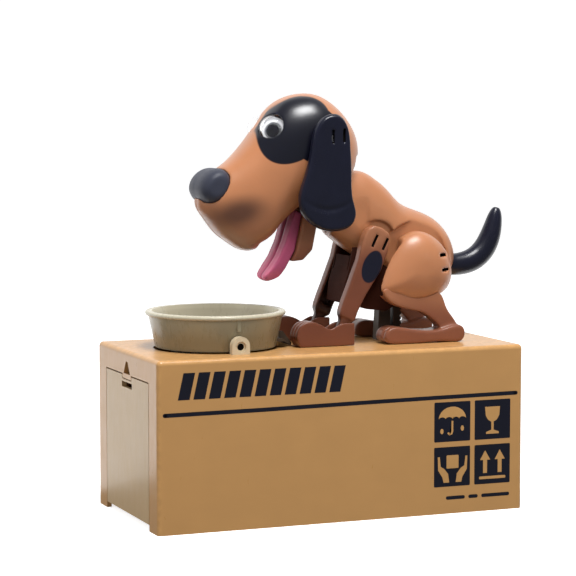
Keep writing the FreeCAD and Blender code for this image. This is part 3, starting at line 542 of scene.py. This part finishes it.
def sculpt_ear(co, no):
    """Dished outer face with a rolled lower hem."""
    x, y, z = co.T
    outer_y = 23.5
    face = np.clip(np.abs(no[:, 1]) * 1.4 - 0.4, 0, 1) * (np.abs(y) > outer_y)
    mid_x = -2.2 + (165.0 - z) * 0.012
    dish = -0.7 * bell(x - mid_x, 6.5) * bell(z - 152.0, 17.0)
    hem_z = 137.2 + 0.03 * (x + 1.0) ** 2
    hem = -0.55 * bell(z - hem_z, 1.3) * bell(x + 1.0, 10.0)
    return co + np.stack([0 * x, np.sign(y) * face * (dish + hem), 0 * x], 1)


def sculpt_tongue(co, no):
    """A groove down the front face, with a soft swell either side."""
    y = co[:, 1]
    front = np.clip(-no[:, 0], 0, 1)
    groove = -0.45 * bell(y, 0.9) + 0.25 * bell(np.abs(y) - 3.2, 1.6)
    return co + no * (front * groove)[:, None]


organic("head_skin", ["head_near", "head_far"], M["head"], "head",
        0.45, 20, sculpt=sculpt_head)
organic("torso_skin", ["torso_near", "torso_far"], M["tan"], "torso",
        0.45, 26, sculpt=sculpt_torso)
organic("nose_skin", ["nose"], M["nose"], "head")
organic("tail_skin", ["tail"], M["navy"], "torso")
organic("jaw_skin", ["lower_jaw"], M["leg"], "jaw", 0.4, 30)
organic("tongue_skin", ["tongue"], M["pink"], "jaw", 0.4, 24, sculpt=sculpt_tongue)
for side, s in (("near", -1), ("far", 1)):
    ear_slots = [((x, s * 26.0, z), (0.6, 1.3, 3.0), 0.0) for x, z in ((0.9, 169.6), (6.2, 170.2))]
    organic("ear_skin_" + side, ["ear_" + side], M["navy"], "ear_%s_body" % side,
            sculpt=sculpt_ear, slots=ear_slots)
    hip_slots = [((x, s * 22.0, z), (2.1, 5.0, 0.65), -4.0) for x, z in ((57.2, 115.2), (58.0, 108.6))]
    organic("thigh_skin_" + side, ["thigh_" + side], M["tan"], "base",
            0.45, 40, slots=hip_slots)
    organic("hind_skin_" + side, ["hind_leg_" + side], M["hind"], "base", 0.4, 40)
    organic("paw_skin_" + side, ["paw_" + side], M["leg"], "base", 0.35, 16)
    shoulder_slots = [((25.1, s * 17.4, 122.3), (0.62, 1.4, 3.0), 26.0),
                      ((30.3, s * 17.4, 120.7), (0.62, 1.4, 2.9), 26.0)]
    organic("leg_skin_" + side, ["front_leg_" + side], M["leg_oval"], "leg_%s_body" % side,
            0.35, 45, slots=shoulder_slots)


# ---- printed front ------------------------------------------------------
# Outlines are lists of (x, z) points in millimetres, in order round the shape.
def disc(cx, cz, rx, rz=None, n=40, a0=0.0, a1=360.0):
    """An ellipse, or the arc of one from a0 to a1 degrees."""
    rz = rz or rx
    whole = abs(a1 - a0) >= 360.0
    steps = n if whole else n + 1
    out = []
    for i in range(steps):
        a = math.radians(a0 + (a1 - a0) * i / n)
        out.append((cx + rx * math.cos(a), cz + rz * math.sin(a)))
    return out


def rounded_rect(x0, x1, z0, z1, r, n=6):
    """A rectangle with corners of radius r."""
    corners = ((x1 - r, z1 - r, 0), (x0 + r, z1 - r, 90), (x0 + r, z0 + r, 180), (x1 - r, z0 + r, 270))
    out = []
    for cx, cz, a0 in corners:
        for i in range(n + 1):
            a = math.radians(a0 + 90.0 * i / n)
            out.append((cx + r * math.cos(a), cz + r * math.sin(a)))
    return out


def stroke(points, width):
    """A bar of even width along a bent line, with square ends."""
    left = []
    right = []
    for i, (x, z) in enumerate(points):
        a = points[max(i - 1, 0)]
        b = points[min(i + 1, len(points) - 1)]
        d = math.hypot(b[0] - a[0], b[1] - a[1])
        nx = -(b[1] - a[1]) / d * width / 2
        nz = (b[0] - a[0]) / d * width / 2
        left.append((x + nx, z + nz))
        right.append((x - nx, z - nz))
    return left + right[::-1]


def decal(name, shapes, mat, proud):
    """Closed flat plates of ink, standing proud of the printed face by a hair, in millimetres."""
    me = bpy.data.meshes.new(name)
    bm = bmesh.new()
    for pts in shapes:
        front = [bm.verts.new((x * MM, (FRONT - proud) * MM, z * MM)) for x, z in pts]
        back = [bm.verts.new((x * MM, (FRONT + INK_SUNK) * MM, z * MM)) for x, z in pts]
        bm.faces.new(front)
        bm.faces.new(back[::-1])
        for i in range(len(pts)):
            j = (i + 1) % len(pts)
            bm.faces.new((front[i], back[i], back[j], front[j]))
    bmesh.ops.triangulate(bm, faces=bm.faces[:])
    bmesh.ops.recalc_face_normals(bm, faces=bm.faces)
    bm.to_mesh(me)
    bm.free()
    me.materials.append(mat)
    ob = bpy.data.objects.new(name, me)
    bpy.context.scene.collection.objects.link(ob)
    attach(ob, "base")
    return ob


def bar_row():
    """The row of leaning bars along the top."""
    count = 11
    pitch = 7.02
    width = 5.3
    lean = 2.6
    low, high = 58.2, 69.8
    starts = [-78.4 + pitch * i for i in range(count)]
    return [[(x, low), (x + width, low), (x + width + lean, high), (x + lean, high)] for x in starts]


def umbrella(cx, z):
    """A dome with a scalloped hem at height z, a hooked handle and two drops."""
    reach = 6.8
    scallop = 1.7
    dome = disc(cx, z, reach, 5.6, 24, 0, 180)
    for k in range(4):
        mid = cx - reach + scallop + 2 * scallop * k
        dome += disc(mid, z, scallop, 1.0, 8, 180, 0)[1:-1]
        if k < 3:
            dome.append((mid + scallop, z))
    handle = [(cx, z - 0.8), (cx, z - 5.6), (cx - 0.4, z - 6.6), (cx - 1.4, z - 6.9), (cx - 2.2, z - 6.1)]
    drops = [disc(cx + 5.0, z - 4.4, 0.8, 1.2), disc(cx - 5.2, z - 5.4, 0.8, 1.2)]
    return [dome, stroke(handle, 0.9)] + drops


def glass():
    """A stemmed glass: cup, stem and foot, each convex."""
    cup = [(68.4, 47.6), (76.0, 47.6), (75.6, 43.6), (74.4, 41.6), (72.8, 40.7), (71.6, 40.7),
           (70.0, 41.6), (68.8, 43.6)]
    stem = [(71.6, 37.0), (72.8, 37.0), (72.8, 40.7), (71.6, 40.7)]
    foot = [(69.0, 35.2), (75.4, 35.2), (75.4, 36.1), (72.8, 37.0), (71.6, 37.0), (69.0, 36.1)]
    return [cup, stem, foot]


def box_in_hands(cx):
    """A small box held between two cupped hands."""
    hand = ((1.6, 14.2), (4.4, 14.2), (5.0, 16.6), (7.2, 20.0), (7.4, 26.0), (6.4, 26.0),
            (5.9, 21.6), (4.2, 20.6), (2.2, 18.2))
    hands = [[(cx + s * dx, z) for dx, z in hand] for s in (-1, 1)]
    return [rounded_rect(cx - 3.0, cx + 3.0, 20.6, 26.6, 0.4)] + hands


def up_arrows():
    """Two arrows pointing up over a bar."""
    out = []
    for cx in (68.6, 76.0):
        out.append([(cx - 1.0, 17.4), (cx + 1.0, 17.4), (cx + 1.0, 23.4), (cx - 1.0, 23.4)])
        out.append([(cx - 2.6, 23.4), (cx + 2.6, 23.4), (cx, 27.8)])
    out.append(rounded_rect(65.6, 79.0, 14.6, 15.9, 0.5))
    return out


def front_print():
    """Bars, a line, four square marks and three dashes, with no lettering."""
    line = [(-84.3, 51.9), (-40.0, 52.1), (0.0, 52.6), (40.0, 53.0), (84.0, 53.3)]
    line_width = 1.8
    square = 18.0
    ink = bar_row()
    ink.append(stroke(line, line_width))
    for x, z in (line[0], line[-1]):
        ink.append(disc(x, z, line_width / 2, n=16))
    for x0, z0 in ((43.0, 32.8), (63.2, 32.8), (43.0, 12.4), (63.2, 12.4)):
        ink.append(rounded_rect(x0, x0 + square, z0, z0 + square, 0.5))
    for x0, x1 in ((49.0, 58.5), (60.3, 65.0), (66.8, 81.0)):
        ink.append(rounded_rect(x0, x1, 6.4, 8.0, 0.8))
    decal("front_ink", ink, M["ink"], INK_PROUD)
    decal("front_art", umbrella(52.0, 43.0) + glass() + box_in_hands(52.2) + up_arrows(),
          M["box_art"], ART_PROUD)


front_print()


# ---- stage --------------------------------------------------------------
CAM_YAW = 22.02
CAM_PITCH = 84.95
GLOW = 0.78
FLOOR_R = 1.8
SWEEP_R = 0.8
WALL_R = 2.6
WALL_TOP = 4.0

sc = bpy.context.scene
sc.view_settings.view_transform = "Standard"
sc.view_settings.look = "None"


def cove_paper():
    """Matt paper that glows by itself, so that the ground stays even."""
    m = Mat("cove paper")
    m.link(m.mix(m.noise(3.0), (0.78, 0.78, 0.78), (0.82, 0.82, 0.82)), m.b.inputs["Base Color"])
    m.b.inputs["Roughness"].default_value = 0.9
    m.b.inputs["Specular IOR Level"].default_value = 0.05
    m.b.inputs["Emission Color"].default_value = (1.0, 1.0, 1.0, 1.0)
    m.b.inputs["Emission Strength"].default_value = GLOW
    return m.mat


def cove(name, mat, a0, a1, shiny):
    """Part of a round, pale studio cove: flat floor, swept corner and wall.

    a0 and a1 are its ends in degrees, counted from straight behind the part as the camera sees it.
    """
    rows = [(0.3, 0.0), (FLOOR_R, 0.0)]
    for a in range(9, 91, 9):
        turn = math.radians(a)
        rows.append((FLOOR_R + SWEEP_R * math.sin(turn), SWEEP_R - SWEEP_R * math.cos(turn)))
    rows.append((WALL_R, WALL_TOP))
    steps = 32
    yaw = math.radians(CAM_YAW)
    verts = [(0.0, 0.0, 0.0)]
    for r, z in rows:
        for i in range(steps + 1):
            t = math.radians(a0 + (a1 - a0) * i / steps)
            verts.append((r * math.sin(t + yaw), r * math.cos(t + yaw), z))
    faces = [(0, 1 + i, 2 + i) for i in range(steps)]
    for k in range(len(rows) - 1):
        for i in range(steps):
            p = 1 + k * (steps + 1) + i
            faces.append((p, p + steps + 1, p + steps + 2, p + 1))
    me = bpy.data.meshes.new(name)
    me.from_pydata(verts, [], faces)
    me.polygons.foreach_set("use_smooth", [True] * len(me.polygons))
    ob = bpy.data.objects.new(name, me)
    sc.collection.objects.link(ob)
    me.materials.append(mat)
    ob.visible_diffuse = False
    ob.visible_glossy = shiny


paper = cove_paper()
cove("cove_back", paper, -75.0, 75.0, True)
cove("cove_front", paper, 75.0, 285.0, False)

world = bpy.data.worlds.new("studio")
sc.world = world
world.use_nodes = True
background = world.node_tree.nodes["Background"]
background.inputs["Color"].default_value = (1.0, 1.0, 1.0, 1.0)
background.inputs["Strength"].default_value = 0.2


def area(name, at, aim_z, size, power, shiny=False):
    """A soft lamp aimed at height aim_z on the part; only a shiny one shows in reflections."""
    light = bpy.data.lights.new(name, "AREA")
    light.shape = "RECTANGLE"
    light.size, light.size_y = size
    light.energy = power
    ob = bpy.data.objects.new(name, light)
    ob.location = at
    ob.rotation_euler = (Vector((0, 0, aim_z)) - Vector(at)).to_track_quat("-Z", "Y").to_euler()
    ob.visible_camera = False
    ob.visible_glossy = shiny
    sc.collection.objects.link(ob)


area("top", (0.02, -0.32, 1.03), aim_z=0.1, size=(0.4, 0.34), power=9.5, shiny=True)
area("key", (-0.12, -0.75, 0.83), aim_z=0.1, size=(0.34, 0.26), power=2.5)
area("front", (0.7, -1.1, 0.55), aim_z=0.1, size=(0.5, 0.4), power=4.0)
area("side", (-1.1, -0.15, 0.35), aim_z=0.06, size=(0.8, 0.8), power=4.3)
area("back", (-0.6, 1.0, 0.35), aim_z=0.08, size=(0.8, 0.8), power=4.0)

cam = bpy.data.cameras.new("camera")
cam.lens = 137.24
cam.sensor_width = 36.0
cam.clip_end = 50.0
cam_ob = bpy.data.objects.new("camera", cam)
cam_ob.location = (-0.3831, -0.9213, 0.1885)
cam_ob.rotation_euler = (math.radians(CAM_PITCH), 0.0, math.radians(-CAM_YAW))
sc.collection.objects.link(cam_ob)
sc.camera = cam_ob
